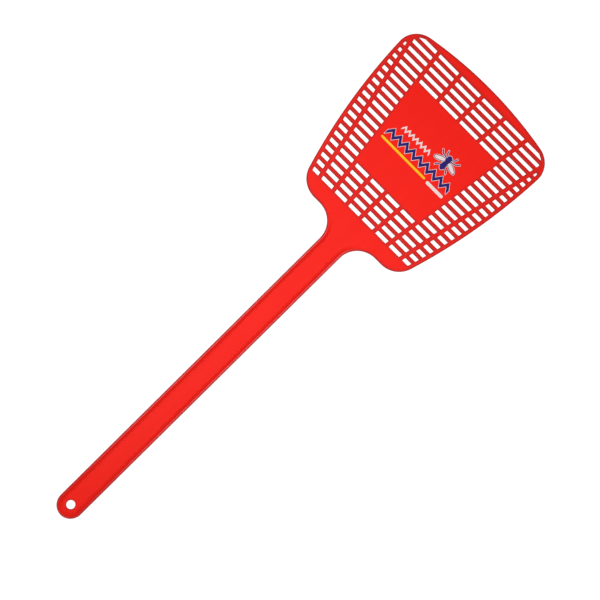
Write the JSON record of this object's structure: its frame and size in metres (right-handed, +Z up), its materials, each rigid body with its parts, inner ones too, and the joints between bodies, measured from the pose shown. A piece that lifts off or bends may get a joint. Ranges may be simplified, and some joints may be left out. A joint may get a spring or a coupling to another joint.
{
  "type": "fly swatter",
  "caption": "One-piece moulded plastic fly swatter: a long flat handle with raised edges and a hanging hole, a flared neck and a thin flexible slotted head with a printed panel.",
  "frame": {"origin": "centre of the bounding box's base: midway along the length, on the centre line, at the lowest surface of the handle's raised edges", "axes": "+Y from the hanging end to the head's tip, +X to the right with the head pointing away and the print up, +Z up out of the printed face"},
  "size_m": [0.1352, 0.4064, 0.0042],
  "materials": {
    "moulded_red": "semi-gloss moulded polypropylene, solid red",
    "ink_navy": "pad-printed navy ink, satin",
    "ink_white": "pad-printed white ink, satin",
    "ink_yellow": "pad-printed yellow ink, satin"
  },
  "bodies": {
    "handle": {"handle_web": "moulded_red", "end_rail": "moulded_red", "left_rail": "moulded_red", "right_rail": "moulded_red", "neck_web": "moulded_red", "left_neck_rail": "moulded_red", "right_neck_rail": "moulded_red"},
    "head": {"tip_band": "moulded_red", "tip_grille": "moulded_red", "left_grille": "moulded_red", "print_panel": "moulded_red", "right_grille": "moulded_red", "neck_grille": "moulded_red", "left_rim": "moulded_red", "right_rim": "moulded_red", "shoulder_plate": "moulded_red", "ink_fly_white": "ink_white", "ink_fly_navy": "ink_navy", "ink_wave_white": "ink_white", "ink_wave_navy": "ink_navy", "ink_small_wave": "ink_white", "ink_yellow_bar": "ink_yellow", "ink_end_bar": "ink_white"}
  },
  "joints": [
    {"name": "neck_flex", "type": "hinge", "parent": "handle", "child": "head", "pos_m": [0, 0.0548, 0.0021], "axis": [1, 0, 0], "range_deg": [-25, 25], "stiffness_Nm_per_rad": 1.2}
  ]
}
